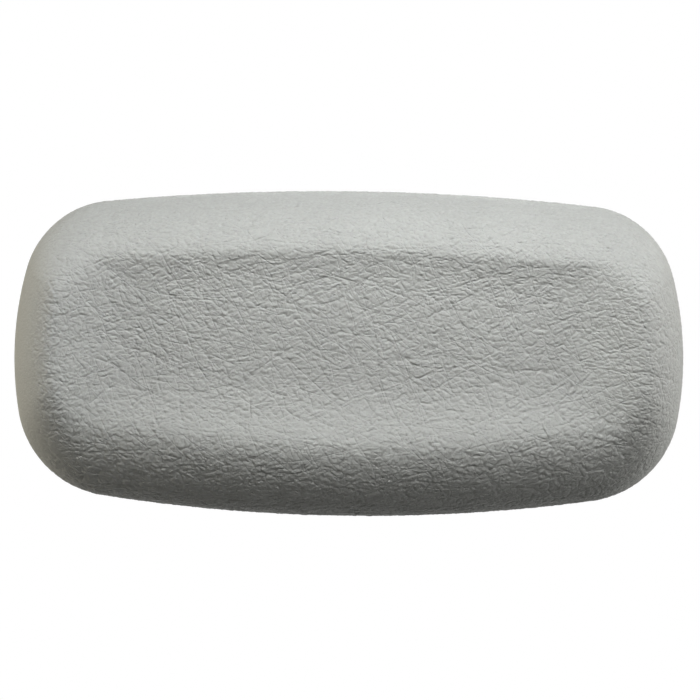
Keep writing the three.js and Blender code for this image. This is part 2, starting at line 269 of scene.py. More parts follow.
class StageSettings(bpy.types.PropertyGroup):
    """Floor, lamps and camera."""

    floor_drop: length("Floor below the pillow's middle", 1.0)
    floor_size: length("Floor from side to side", 6.0)
    floor_end: length("Floor's edge behind the wall plane", 3.0)
    ambient: share("Strength of the surrounding light on the object", 0.003)
    lens: bpy.props.FloatProperty(description="Focal length in millimetres", default=126)
    view_width: length("Width that the camera takes in", 0.3144)


# Outlines


def corner_centre(bow_centre, bow_radius, side_centre, side_radius, corner):
    """Centre of the right-hand corner arc that touches a bow and the side from the inside."""
    reach_bow = bow_radius - corner
    reach_side = side_radius - corner
    gap = side_centre - bow_centre
    distance = np.hypot(*gap)
    along = (reach_bow**2 - reach_side**2 + distance**2) / (2 * distance)
    across = math.sqrt(reach_bow**2 - along**2)
    unit = gap / distance
    foot = bow_centre + unit * along
    aside = np.array([-unit[1], unit[0]]) * across
    return max(foot + aside, foot - aside, key=lambda point: point[0])


def arc(centre, radius, start, end, steps):
    angles = np.linspace(start, end, steps + 1)[:-1]
    return np.column_stack([centre[0] + radius * np.cos(angles), centre[1] + radius * np.sin(angles)])


def bowed_outline(right, top, bottom, top_bow, bottom_bow, side_bow, drop, top_corner, bottom_corner):
    """Points of a bowed rounded rectangle, anticlockwise from the middle of its lower left corner."""
    top_centre = np.array([0.0, top - top_bow])
    bottom_centre = np.array([0.0, bottom + bottom_bow])
    side_centre = np.array([right - side_bow, (top + bottom) / 2 - drop])
    upper = corner_centre(top_centre, top_bow, side_centre, side_bow, top_corner)
    lower = corner_centre(bottom_centre, bottom_bow, side_centre, side_bow, bottom_corner)

    def heading(start, end):
        return math.atan2(end[1] - start[1], end[0] - start[0])

    bottom_end = heading(bottom_centre, lower)
    side_start = heading(side_centre, lower)
    side_end = heading(side_centre, upper)
    top_start = heading(top_centre, upper)
    half = np.vstack(
        [
            arc(bottom_centre, bottom_bow, -math.pi / 2, bottom_end, BOW_STEPS),
            arc(lower, bottom_corner, bottom_end, side_start, CORNER_STEPS),
            arc(side_centre, side_bow, side_start, side_end, SIDE_STEPS),
            arc(upper, top_corner, side_end, top_start, CORNER_STEPS),
            arc(top_centre, top_bow, top_start, math.pi / 2, BOW_STEPS),
        ]
    )
    mirrored = half[:0:-1] * np.array([-1.0, 1.0])
    whole = np.vstack([half, [[0.0, top]], mirrored])
    return np.roll(whole, CORNER_MARK, axis=0)


def pillow_outline(form, inset):
    return bowed_outline(
        form.width / 2 - inset,
        form.height / 2 - inset,
        -form.height / 2 + inset,
        form.top_bow - inset,
        form.bottom_bow - inset,
        form.side_bow - inset,
        form.widest_drop,
        form.top_corner - inset,
        form.bottom_corner - inset,
    )


def dish_outline(form, top_inset, bottom_inset, side_inset, corner):
    return bowed_outline(
        form.width / 2 - side_inset,
        form.height / 2 - top_inset,
        -form.height / 2 + bottom_inset,
        form.top_bow - top_inset,
        form.bottom_bow - bottom_inset,
        form.side_bow - side_inset,
        0.0,
        corner,
        corner,
    )


def crest_facing(crest):
    """How far each point of the crest faces up, down and sideways, in shares that add up to one."""
    along = np.roll(crest, -1, axis=0) - np.roll(crest, 1, axis=0)
    along /= np.linalg.norm(along, axis=1, keepdims=True)
    up = np.clip(-along[:, 0], 0, None) ** 2
    down = np.clip(along[:, 0], 0, None) ** 2
    return up, down, along[:, 1] ** 2


# Rings of the skin, each a row of x, depth in front of the flat back, z and strength of grain


def ring_of(points, depth, grain):
    depths = np.broadcast_to(depth, len(points))
    strengths = np.broadcast_to(grain, len(points))
    return np.column_stack([points[:, 0], depths, points[:, 1], strengths])


def even_turns(width, rise, fullness, count):
    """Angles that divide a roll's section into stretches of equal length."""
    turn = np.linspace(0, math.pi / 2, 500)
    across = width * np.cos(turn) ** (2 / fullness)
    up = rise * np.sin(turn) ** (2 / fullness)
    along = np.concatenate([[0], np.cumsum(np.hypot(np.diff(across), np.diff(up)))])
    return np.interp(np.linspace(0, along[-1], count + 1), along, turn)


def ease(value, low, high):
    """Smooth step from 0 below low to 1 above high."""
    part = np.clip((value - low) / (high - low), 0, 1)
    return part * part * (3 - 2 * part)


def front_rings(form, inset, roll_rings, slope_rings):
    """Rings from the parting line over the roll to its crest, and on to the edge of the dish floor."""
    edge = pillow_outline(form, inset)
    crest = dish_outline(form, form.top_roll, form.bottom_roll, form.side_roll, form.crest_corner)
    floor = dish_outline(
        form,
        form.top_roll + form.top_slope,
        form.bottom_roll + form.bottom_slope,
        form.side_roll + form.side_slope,
        form.floor_corner,
    )
    up, down, side = crest_facing(crest)
    middle = np.clip(1 - (crest[:, 0] / (form.width / 2 - form.side_roll)) ** 2, 0, 1)
    lip = form.top_lip * up + (form.bottom_lip + form.neck_bulge * middle) * down + form.side_lip * side
    floor_depth = form.floor_depth - inset
    rise = floor_depth + lip - form.parting_depth
    fullness = form.top_fullness * up + form.bottom_fullness * down + form.side_fullness * side
    turns = even_turns(form.top_roll, rise.mean(), fullness.mean(), roll_rings)
    side_fading = np.where(crest[:, 0] < 0, LEFT_FADING, RIGHT_FADING)
    rings = []
    for step, turn in enumerate(turns):
        outwards = 1 - step / roll_rings
        reach = np.cos(turn) ** (2 / fullness)
        points = crest + (edge - crest) * reach[:, None]
        top_fading = up * TOP_FADING * ease(outwards, 0.2, 0.95)
        grain = 1 + down * LOWER_GAIN - (top_fading + side * side_fading * ease(outwards, 0, 0.4))
        depth = form.parting_depth + rise * np.sin(turn) ** (2 / fullness)
        rings.append(ring_of(points, depth, grain))
    for step in range(1, slope_rings + 1):
        part = step / slope_rings
        points = crest + (floor - crest) * part
        grain = 1 + down * LOWER_GAIN * (1 - ease(part, 0.3, 1))
        rings.append(ring_of(points, floor_depth + lip * (1 - part) ** form.hollow, grain))
    return rings


def rear_edge_ring(form, inset, turn):
    """Ring on the rear edge's quarter ellipse: a turn of 0 is the flat back, 90 degrees the parting line."""
    points = pillow_outline(form, inset + form.rear_edge * (1 - math.sin(turn)))
    return ring_of(points, form.parting_depth * (1 - math.cos(turn)), REAR_GRAIN)


def rear_edge_turn(form, depth):
    return math.acos(1 - depth / form.parting_depth)


def outer_rings(form, edge_round):
    """Rings of the outside, from the lip's inner edge round the rear edge and over the front."""
    rebate_inset = form.rear_edge + form.rear_land
    lip_inset = rebate_inset + form.lip_width
    rings = []
    for inset in np.linspace(lip_inset, rebate_inset, LIP_RINGS):
        rings.append(ring_of(pillow_outline(form, inset), form.rebate_depth, 0))
    rings.append(ring_of(pillow_outline(form, rebate_inset), edge_round, 0))
    rings.append(ring_of(pillow_outline(form, rebate_inset - edge_round), 0, 0))
    for turn in np.linspace(0, math.pi / 2, REAR_RINGS, endpoint=False):
        rings.append(rear_edge_ring(form, 0, turn))
    start = len(rings)
    rings.extend(front_rings(form, 0, ROLL_RINGS, SLOPE_RINGS))
    return soften(np.array(rings), start, form.crest_softness)


def soften(rings, start, softness):
    """Rounds the crest off by drawing each ring towards its two neighbours."""
    for _ in range(int(CREST_PASSES * softness)):
        middle = rings[start + 2 : -1]
        rings[start + 2 : -1] = (rings[start + 1 : -2] + 2 * middle + rings[start + 3 :]) / 4
    return rings


def inner_rings(form):
    """Rings of the inside, from the lip's front face to the edge of the dish floor."""
    lip_inset = form.rear_edge + form.rear_land + form.lip_width
    start = rear_edge_turn(form, form.lip_front)
    rings = [ring_of(pillow_outline(form, lip_inset), form.lip_front, 0)]
    for turn in np.linspace(start, math.pi / 2, INNER_REAR_RINGS, endpoint=False):
        rings.append(rear_edge_ring(form, form.skin_thickness, turn))
    rings.extend(front_rings(form, form.skin_thickness, INNER_ROLL_RINGS, INNER_SLOPE_RINGS))
    return np.array(rings)


def foam_rings(form, fittings):
    """Rings of the foam, a clearance inside the skin, from its back to the edge of the dish floor."""
    inset = form.skin_thickness + fittings.fit_gap
    start = rear_edge_turn(form, fittings.foam_back)
    rings = []
    for turn in np.linspace(start, math.pi / 2, INNER_REAR_RINGS, endpoint=False):
        rings.append(rear_edge_ring(form, inset, turn))
    rings.extend(front_rings(form, inset, INNER_ROLL_RINGS, INNER_SLOPE_RINGS))
    return np.array(rings)


# Grids


def resample(points, cells):
    """The same run of points, divided into cells of equal length."""
    gaps = np.linalg.norm(np.diff(points[:, :3], axis=0), axis=1)
    along = np.concatenate([[0], np.cumsum(gaps)])
    wanted = np.linspace(0, along[-1], cells + 1)
    return np.column_stack([np.interp(wanted, along, column) for column in points.T])


def grid_places(rings, floor_cells):
    """Places of a grid's points, row by row. Each ring is a border, the last one round the floor."""
    borders = len(rings) - 1
    columns = floor_cells[0] + 2 * borders
    rows = floor_cells[1] + 2 * borders
    places = np.empty((rows + 1, columns + 1, rings.shape[2]))
    side = SIDE_STEPS + CORNER_STEPS
    long_side = 2 * BOW_STEPS + CORNER_STEPS
    marks = np.cumsum([0, long_side, side, long_side, side])
    for level, ring in enumerate(rings):
        closed = np.vstack([ring, ring[:1]])
        last_row = rows - level
        last_column = columns - level
        wide = columns - 2 * level
        high = rows - 2 * level
        bottom, right, top, left = (
            resample(closed[marks[k] : marks[k + 1] + 1], (wide, high)[k % 2]) for k in range(4)
        )
        places[level, level : last_column + 1] = bottom
        places[level : last_row + 1, last_column] = right
        places[last_row, level : last_column + 1] = top[::-1]
        places[level : last_row + 1, level] = left[::-1]
    fill_floor(places[borders : rows - borders + 1, borders : columns - borders + 1])
    return places


def fill_floor(patch):
    """Spreads the border of a patch evenly over its inside."""
    across = np.linspace(0, 1, patch.shape[1])[None, :, None]
    up = np.linspace(0, 1, patch.shape[0])[:, None, None]
    bottom, top = patch[:1].copy(), patch[-1:].copy()
    left, right = patch[:, :1].copy(), patch[:, -1:].copy()
    corners = (1 - across) * ((1 - up) * bottom[:, :1] + up * top[:, :1])
    corners = corners + across * ((1 - up) * bottom[:, -1:] + up * top[:, -1:])
    patch[:] = (1 - up) * bottom + up * top + (1 - across) * left + across * right - corners


def to_frame(places):
    """Places in the shared frame, where depth runs from the flat back towards -Y."""
    return np.stack([places[..., 0], BACK_Y - places[..., 1], places[..., 2]], axis=-1)


def grid_bmesh(points):
    """Grid of quads with its points moved to their places."""
    rows, columns = points.shape[:2]
    bm = bmesh.new()
    bmesh.ops.create_grid(bm, x_segments=columns - 1, y_segments=rows - 1, size=1)
    flat = points.reshape(-1, 3)
    if len(bm.verts) != len(flat):
        raise RuntimeError(f"the grid has {len(bm.verts)} points instead of {len(flat)}")
    for vertex in bm.verts:
        column = round((vertex.co.x + 1) / 2 * (columns - 1))
        row = round((vertex.co.y + 1) / 2 * (rows - 1))
        vertex.co = flat[row * columns + column]
    return bm


def mark_points(bm, name, values):
    """Keeps a number with each point of a grid."""
    layer = bm.verts.layers.float.new(name)
    for vertex, value in zip(bm.verts, values.reshape(-1)):
        vertex[layer] = value


# Grain


def lattice_noise(places, seed):
    """Smooth noise of about -1 to 1 at places measured in lattice cells."""
    draws = np.random.default_rng(seed)
    order = draws.permutation(LATTICE).astype(np.int32)
    ways = draws.normal(size=(LATTICE, 3)).astype(np.float32)
    ways /= np.linalg.norm(ways, axis=1, keepdims=True)
    cell = np.floor(places).astype(np.int32)
    inside = (places - cell).astype(np.float32)
    eased = inside**3 * (inside * (inside * 6 - 15) + 10)
    total = np.zeros(places.shape[:-1], np.float32)
    for corner in itertools.product((0, 1), repeat=3):
        x, y, z = (cell[..., axis] + corner[axis] & LATTICE - 1 for axis in range(3))
        way = ways[order[order[order[x] + y & LATTICE - 1] + z & LATTICE - 1]]
        weight = np.ones_like(total)
        pull = np.zeros_like(total)
        for axis in range(3):
            weight *= eased[..., axis] if corner[axis] else 1 - eased[..., axis]
            pull += way[..., axis] * (inside[..., axis] - corner[axis])
        total += weight * pull
    return total * NOISE_GAIN


def cell_length(points, axis):
    return np.maximum(np.linalg.norm(np.gradient(points, axis=axis), axis=-1), 1e-6)


def crease_set(points, ripple, angle, spacing, run, wander, seed):
    """Distance to the nearest of a set of wandering creases that run about one way, the part of that
    distance above the crease, and how far the crease shows."""
    along = np.array([math.cos(angle), 0, math.sin(angle)])
    across = np.array([-math.sin(angle), 0, math.cos(angle)])
    stray = lattice_noise(points / (run * WANDER_RUN), seed + 1) * spacing * wander + ripple
    moved = points + stray[..., None] * across
    places = np.stack([moved @ along / run, points[..., 1] / spacing, moved @ across / spacing], axis=-1)
    level = lattice_noise(places, seed)
    slope_across = np.gradient(level, axis=1) / cell_length(points, 1)
    slope_up = np.gradient(level, axis=0) / cell_length(points, 0)
    slope = np.maximum(np.hypot(slope_across, slope_up), LEAST_SLOPE / spacing)
    distance = level / slope
    shown = lattice_noise(points / (run * SHOWN_RUN), seed + 2)
    return np.abs(distance), distance * slope_up / slope, shown


def grain_height(points, grain):
    """Height of the grain in metres and how deep each point lies in a crease, from 0 to 1."""
    ripple = lattice_noise(points / RIPPLE_SPACING, grain.seed + RIPPLE_SEED) * grain.ripple
    height = np.zeros(points.shape[:2])
    open_skin = np.ones(points.shape[:2])
    for scale, (name, angles, fade, wander) in enumerate(CREASE_SCALES):
        spacing, run, width, depth = (
            getattr(grain, f"{name}_{size}") for size in ("spacing", "run", "width", "depth")
        )
        for number, angle in enumerate(angles):
            seed = grain.seed + 100 * scale + 10 * number
            distance, above, shown = crease_set(
                points, ripple, math.radians(angle), spacing, run, wander, seed
            )
            crease = np.exp(-((distance / width) ** 2)) * ease(shown, *fade)
            leaning = grain.lean * np.clip(above / width, -WALL_REACH, WALL_REACH)
            height -= crease * (1 + leaning) * depth
            open_skin *= 1 - crease * CREASE_SHARE
    return height, 1 - open_skin


def surface_normals(points):
    across = np.gradient(points, axis=1)
    up = np.gradient(points, axis=0)
    normals = np.cross(across, up)
    return normals / np.maximum(np.linalg.norm(normals, axis=-1, keepdims=True), 1e-12)


# Meshes


def finish_piece(name, bm, material):
    """Object at the origin from a finished bmesh."""
    mesh = bpy.data.meshes.new(name)
    bm.to_mesh(mesh)
    bm.free()
    mesh.materials.append(material)
    piece = bpy.data.objects.new(name, mesh)
    bpy.context.scene.collection.objects.link(piece)
    return piece


def place_piece(piece, body, node):
    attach(piece, body)
    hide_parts(node)


def smooth_faces(bm):
    for face in bm.faces:
        face.smooth = True


def flat_along_y(bm, limit=0.999):
    """Smooth faces, apart from those that lie square to Y."""
    for face in bm.faces:
        face.smooth = abs(face.normal.y) < limit


def sharp_edges(bm, degrees):
    limit = math.radians(degrees)
    return [edge for edge in bm.edges if edge.is_manifold and edge.calc_face_angle() > limit]


def round_edges(bm, degrees, offset, segments):
    bmesh.ops.bevel(
        bm,
        geom=sharp_edges(bm, degrees),
        offset=offset,
        affect="EDGES",
        segments=segments,
        profile=0.5,
        material=-1,
        clamp_overlap=True,
    )


def spun(profile, steps):
    """Closed body spun about Y from a profile of radius and depth that starts and ends on the axis."""
    bm = bmesh.new()
    line = [bm.verts.new((radius, -depth, 0)) for radius, depth in profile]
    edges = [bm.edges.new(pair) for pair in itertools.pairwise(line)]
    bmesh.ops.spin(
        bm,
        geom=line + edges,
        axis=(0, 1, 0),
        cent=(0, 0, 0),
        angle=2 * math.pi,
        steps=steps,
        use_merge=True,
    )
    bmesh.ops.remove_doubles(bm, verts=bm.verts, dist=1e-7)
    bmesh.ops.recalc_face_normals(bm, faces=bm.faces)
    return bm


def bend(start, pull, end, steps):
    """Points of a curve from start to end that is drawn towards pull, without the last one."""
    shares = np.linspace(0, 1, steps, endpoint=False)[:, None]
    start, pull, end = np.array(start), np.array(pull), np.array(end)
    return ((1 - shares) ** 2 * start + 2 * shares * (1 - shares) * pull + shares**2 * end).tolist()


def post(bm, x, z, radius, depth, front):
    """Adds a round post that stands forwards from one depth to another."""
    middle = Vector((x, BACK_Y - (depth + front) / 2, z))
    turn = Matrix.Translation(middle) @ Matrix.Rotation(math.pi / 2, 4, "X")
    bmesh.ops.create_cone(
        bm,
        cap_ends=True,
        segments=HOLE_SIDES,
        radius1=radius,
        radius2=radius,
        depth=front - depth,
        matrix=turn,
    )


def beam(bm, width, thickness, z, depth, front):
    """Adds a straight beam that stands forwards from one depth to another."""
    middle = Matrix.Translation((0, BACK_Y - (depth + front) / 2, z))
    sides = Matrix.Diagonal((width, front - depth, thickness, 1))
    bmesh.ops.create_cube(bm, size=1, matrix=middle @ sides)


def combined(bm, other, operation):
    """Result of joining or cutting one closed body with another."""
    made = []
    for name, body in (("body", bm), ("tool", other)):
        mesh = bpy.data.meshes.new(name)
        body.to_mesh(mesh)
        body.free()
        made.append(bpy.data.objects.new(name, mesh))
        bpy.context.scene.collection.objects.link(made[-1])
    modifier = made[0].modifiers.new("combine", "BOOLEAN")
    modifier.operation = operation
    modifier.solver = "EXACT"
    modifier.object = made[1]
    graph = bpy.context.evaluated_depsgraph_get()
    result = bmesh.new()
    result.from_object(made[0], graph)
    for item in made:
        mesh = item.data
        bpy.data.objects.remove(item)
        bpy.data.meshes.remove(mesh)
    return result


# Materials


def socket_value(node, name, value):
    node.inputs[name].default_value = value


def new_group(name, inputs, outputs):
    """Shader node group with named sockets, and its input and output nodes."""
    tree = bpy.data.node_groups.new(name, "ShaderNodeTree")
    for title, kind, value in inputs:
        item = tree.interface.new_socket(title, in_out="INPUT", socket_type=kind)
        if value is not None:
            item.default_value = value
    for title, kind in outputs:
        tree.interface.new_socket(title, in_out="OUTPUT", socket_type=kind)
    return tree, tree.nodes.new("NodeGroupInput"), tree.nodes.new("NodeGroupOutput")


def math_node(tree, operation, first, second):
    node = tree.nodes.new("ShaderNodeMath")
    node.operation = operation
    for slot, value in zip(node.inputs, (first, second)):
        if isinstance(value, bpy.types.NodeSocket):
            tree.links.new(value, slot)
        else:
            slot.default_value = value
    return node.outputs[0]


def noise_node(tree, place, scale, detail, roughness=0.5):
    node = tree.nodes.new("ShaderNodeTexNoise")
    socket_value(node, "Detail", detail)
    socket_value(node, "Roughness", roughness)
    tree.links.new(place, node.inputs["Vector"])
    if isinstance(scale, bpy.types.NodeSocket):
        tree.links.new(scale, node.inputs["Scale"])
    else:
        socket_value(node, "Scale", scale)
    return node.outputs["Fac"]


def mottle_group():
    """Uneven tone: broad clouds and small specks that lighten and darken a colour."""
    tree, given, result = new_group(
        "uneven_tone",
        (
            ("Vector", "NodeSocketVector", None),
            ("Colour", "NodeSocketColor", None),
            ("Clouds", "NodeSocketFloat", 25.0),
            ("Specks", "NodeSocketFloat", 900.0),
            ("Amount", "NodeSocketFloat", 0.08),
        ),
        (("Colour", "NodeSocketColor"), ("Tone", "NodeSocketFloat")),
    )
    clouds = noise_node(tree, given.outputs["Vector"], given.outputs["Clouds"], 3)
    specks = noise_node(tree, given.outputs["Vector"], given.outputs["Specks"], 2)
    broad = math_node(tree, "MULTIPLY", clouds, CLOUD_SHARE)
    small = math_node(tree, "MULTIPLY", specks, 1 - CLOUD_SHARE)
    both = math_node(tree, "ADD", broad, small)
    swing = math_node(tree, "MULTIPLY", math_node(tree, "SUBTRACT", both, 0.5), given.outputs["Amount"])
    tone = math_node(tree, "ADD", math_node(tree, "MULTIPLY", swing, 2.0), 1.0)
    scale = tree.nodes.new("ShaderNodeVectorMath")
    scale.operation = "SCALE"
    tree.links.new(given.outputs["Colour"], scale.inputs[0])
    tree.links.new(tone, scale.inputs["Scale"])
    tree.links.new(scale.outputs[0], result.inputs["Colour"])
    tree.links.new(tone, result.inputs["Tone"])
    return tree


def pores_group():
    """Height of fine pores and of a slight unevenness between them."""
    tree, given, result = new_group(
        "fine_pores",
        (("Vector", "NodeSocketVector", None), ("Pores", "NodeSocketFloat", 1100.0)),
        (("Height", "NodeSocketFloat"),),
    )
    cells = tree.nodes.new("ShaderNodeTexVoronoi")
    cells.feature = "SMOOTH_F1"
    tree.links.new(given.outputs["Vector"], cells.inputs["Vector"])
    tree.links.new(given.outputs["Pores"], cells.inputs["Scale"])
    finer = math_node(tree, "MULTIPLY", given.outputs["Pores"], 2.2)
    rough = math_node(tree, "MULTIPLY", noise_node(tree, given.outputs["Vector"], finer, 3), 0.5)
    domes = math_node(tree, "MULTIPLY", cells.outputs["Distance"], -0.7)
    tree.links.new(math_node(tree, "ADD", domes, rough), result.inputs["Height"])
    return tree


def thin_creases_group():
    """Depth of thin creases that cross each other, from 0 on open skin to about 1 along a crease."""
    tree, given, result = new_group(
        "thin_creases",
        (
            ("Vector", "NodeSocketVector", None),
            ("Scale", "NodeSocketFloat", 220.0),
            ("Width", "NodeSocketFloat", 0.05),
        ),
        (("Depth", "NodeSocketFloat"),),
    )
    total = 0.0
    for number, angle in enumerate(THIN_ANGLES):
        turn = tree.nodes.new("ShaderNodeVectorRotate")
        turn.rotation_type = "Y_AXIS"
        socket_value(turn, "Angle", math.radians(angle))
        tree.links.new(given.outputs["Vector"], turn.inputs["Vector"])
        stretch = tree.nodes.new("ShaderNodeVectorMath")
        stretch.operation = "MULTIPLY_ADD"
        tree.links.new(turn.outputs[0], stretch.inputs[0])
        stretch.inputs[1].default_value = THIN_STRETCH
        stretch.inputs[2].default_value = [number * shift for shift in THIN_SHIFT]
        level = noise_node(tree, stretch.outputs[0], given.outputs["Scale"], 1)
        away = math_node(tree, "ABSOLUTE", math_node(tree, "SUBTRACT", level, 0.5), 0.0)
        near = math_node(tree, "SUBTRACT", 1.0, math_node(tree, "DIVIDE", away, given.outputs["Width"]))
        wall = math_node(tree, "MAXIMUM", near, 0.0)
        total = math_node(tree, "ADD", total, math_node(tree, "POWER", wall, THIN_POWER))
    tree.links.new(total, result.inputs["Depth"])
    return tree


def shared_group(name, maker):
    return bpy.data.node_groups.get(name) or maker()


class Finish:
    """A new material with its shader, object coordinates and the effects that the finishes share."""

    def __init__(self, name):
        self.material = bpy.data.materials.new(name)
        self.material.use_nodes = True
        self.tree = self.material.node_tree
        self.tree.nodes.clear()
        self.shader = self.tree.nodes.new("ShaderNodeBsdfPrincipled")
        output = self.tree.nodes.new("ShaderNodeOutputMaterial")
        self.tree.links.new(self.shader.outputs[0], output.inputs["Surface"])
        self.place = self.tree.nodes.new("ShaderNodeTexCoord").outputs["Object"]

    def group(self, name, maker, **values):
        node = self.tree.nodes.new("ShaderNodeGroup")
        node.node_tree = shared_group(name, maker)
        self.tree.links.new(self.place, node.inputs["Vector"])
        for title, value in values.items():
            socket_value(node, title, value)
        return node

    def tone(self, tint, **values):
        return self.group("uneven_tone", mottle_group, Colour=(*tint, 1), **values)

    def attribute(self, name):
        node = self.tree.nodes.new("ShaderNodeAttribute")
        node.attribute_name = name
        return node.outputs["Fac"]

    def calc(self, operation, first, second):
        return math_node(self.tree, operation, first, second)

    def bump(self, height, distance, strength):
        node = self.tree.nodes.new("ShaderNodeBump")
        socket_value(node, "Distance", distance)
        socket_value(node, "Strength", strength)
        self.tree.links.new(height, node.inputs["Height"])
        self.tree.links.new(node.outputs[0], self.shader.inputs["Normal"])

    def pores(self, scale, distance, strength):
        node = self.group("fine_pores", pores_group, Pores=scale)
        self.bump(node.outputs["Height"], distance, strength)

    def roughness(self, tone, base, swing):
        """Roughness that rises where the tone is pale."""
        varied = self.calc("MULTIPLY", self.calc("SUBTRACT", tone, 1.0), swing)
        self.link(self.calc("ADD", varied, base), "Roughness")

    def link(self, output, name):
        self.tree.links.new(output, self.shader.inputs[name])

    def fixed(self, **values):
        for title, value in values.items():
            socket_value(self.shader, title.replace("_", " "), value)


def grained_skin_finish(tint):
    """Moulded skin with a dull satin face. Its creases carry painted shade in the colour, the more so where
    the grain fades.
    """
    finish = Finish("grained_skin")
    calc = finish.calc
    tone = finish.tone(tint, Clouds=22.0, Specks=800.0, Amount=0.17)
    crease = finish.attribute("crease")
    smooth = finish.attribute("smooth")
    # Painted shade: the colour is darkened along the creases, the more so where the grain fades
    painted_crease_shade = calc("ADD", 0.03, calc("MULTIPLY", smooth, 0.35))
    scale = finish.tree.nodes.new("ShaderNodeVectorMath")
    scale.operation = "SCALE"
    finish.tree.links.new(tone.outputs["Colour"], scale.inputs[0])
    finish.tree.links.new(calc("SUBTRACT", 1.0, calc("MULTIPLY", crease, painted_crease_shade)), scale.inputs["Scale"])
    finish.link(scale.outputs[0], "Base Color")
    finish.roughness(tone.outputs["Tone"], calc("ADD", calc("MULTIPLY", smooth, 0.4), 0.4), 0.9)
    pores = finish.group("fine_pores", pores_group, Pores=1150.0)
    short = finish.group("thin_creases", thin_creases_group, Scale=240.0, Width=0.075)
    long = finish.group("thin_creases", thin_creases_group, Scale=75.0, Width=0.03)
    creases = calc("ADD", short.outputs["Depth"], calc("MULTIPLY", long.outputs["Depth"], 1.35))
    depth = calc("MULTIPLY", creases, calc("SUBTRACT", 1.0, smooth))
    coarser = calc("ADD", 1.0, calc("MULTIPLY", smooth, 1.2))
    pebbles = calc("MULTIPLY", pores.outputs["Height"], coarser)
    finish.bump(calc("SUBTRACT", pebbles, depth), 0.000115, 1.0)
    finish.fixed(Specular_IOR_Level=0.04)
    return finish.material


def plain_finish(name, tint, tone, roughness, pores, **fixed):
    """Finish with an uneven tone (clouds, specks and amount), a roughness that follows the tone (base and
    swing) and fine pores (scale, depth and strength)."""
    finish = Finish(name)
    clouds, specks, amount = tone
    uneven = finish.tone(tint, Clouds=clouds, Specks=specks, Amount=amount)
    finish.link(uneven.outputs["Colour"], "Base Color")
    finish.roughness(uneven.outputs["Tone"], *roughness)
    finish.pores(*pores)
    finish.fixed(**fixed)
    return finish.material


def rear_skin_finish(tint):
    """Smooth rear skin with a fine moulded texture."""
    tone = (18.0, 1200.0, 0.09)
    pores = (650.0, 0.00012, 0.7)
    return plain_finish("rear_skin", tint, tone, (0.62, 0.8), pores, Specular_IOR_Level=0.3)


def foam_finish(tint):
    """Open-celled foam, dull and slightly uneven."""
    tone = (30.0, 1600.0, 0.14)
    pores = (1500.0, 0.0003, 0.9)
    return plain_finish("foam", tint, tone, (0.92, 0.3), pores, Specular_IOR_Level=0.1)


def moulded_plastic_finish(name, tint, base_roughness, pores):
    """Moulded plastic with a faint spark-eroded texture."""
    tone = (40.0, 1500.0, 0.06)
    return plain_finish(
        name, tint, tone, (base_roughness, 0.8), (pores, 0.00003, 0.5), Specular_IOR_Level=0.45
    )


def clear_vinyl_finish(tint):
    """Soft clear vinyl with faint haze and flow marks."""
    tone = (120.0, 900.0, 0.05)
    pores = (260.0, 0.00004, 0.3)
    return plain_finish("clear_vinyl", tint, tone, (0.16, 1.2), pores, Transmission_Weight=0.82, IOR=1.45)


def seen_rays(tree):
    """1 for what the camera, gloss and clear pieces see, and 0 for light that falls on the object."""
    path = tree.nodes.new("ShaderNodeLightPath")
    seen = math_node(tree, "MAXIMUM", path.outputs["Is Camera Ray"], path.outputs["Is Glossy Ray"])
    return math_node(tree, "MAXIMUM", seen, path.outputs["Is Transmission Ray"])


def floor_finish(tint):
    """Pale floor that looks as bright as its surroundings and keeps the shadow."""
    finish = Finish("studio_floor")
    tone = finish.tone(tint, Clouds=3.0, Specks=60.0, Amount=0.02)
    finish.link(tone.outputs["Colour"], "Base Color")
    finish.fixed(Roughness=0.85, Specular_IOR_Level=0.1, Emission_Color=(1, 1, 1, 1))
    finish.link(finish.calc("MULTIPLY", seen_rays(finish.tree), FLOOR_GLOW), "Emission Strength")
    return finish.material


# Operators


class BATHPILLOW_OT_front_skin(bpy.types.Operator):
    """Grained skin: dished front, roll, rounded rear edge and the lip round the open back"""

    bl_idname = "bath_pillow.front_skin"
    bl_label = "Front Skin"

    def execute(self, context):
        scene = context.scene
        form = scene.bath_pillow_form
        places = grid_places(outer_rings(form, scene.bath_pillow_fittings.edge_round), FLOOR_CELLS)
        points = to_frame(places)
        height, crease = grain_height(points, scene.bath_pillow_grain)
        strength = places[..., 3]
        grained = points + surface_normals(points) * (height * strength)[..., None]
        bm = grid_bmesh(grained)
        # The crease depth kept here also darkens the skin's colour, as painted shade in the creases
        mark_points(bm, "crease", crease * strength)
        mark_points(bm, "smooth", np.clip(1 - strength, 0, 1))
        inner = grid_bmesh(to_frame(grid_places(inner_rings(form), INNER_FLOOR_CELLS)))
        bmesh.ops.reverse_faces(inner, faces=inner.faces)
        lining = bpy.data.meshes.new("lining")
        inner.to_mesh(lining)
        inner.free()
        bm.from_mesh(lining)
        bpy.data.meshes.remove(lining)
        rims = [edge for edge in bm.edges if edge.is_boundary]
        bmesh.ops.bridge_loops(bm, edges=rims)
        smooth_faces(bm)
        piece = finish_piece("grained_skin", bm, grained_skin_finish(scene.bath_pillow_finish.skin))
        place_piece(piece, PILLOW_BODY, "front_skin")
        return {"FINISHED"}


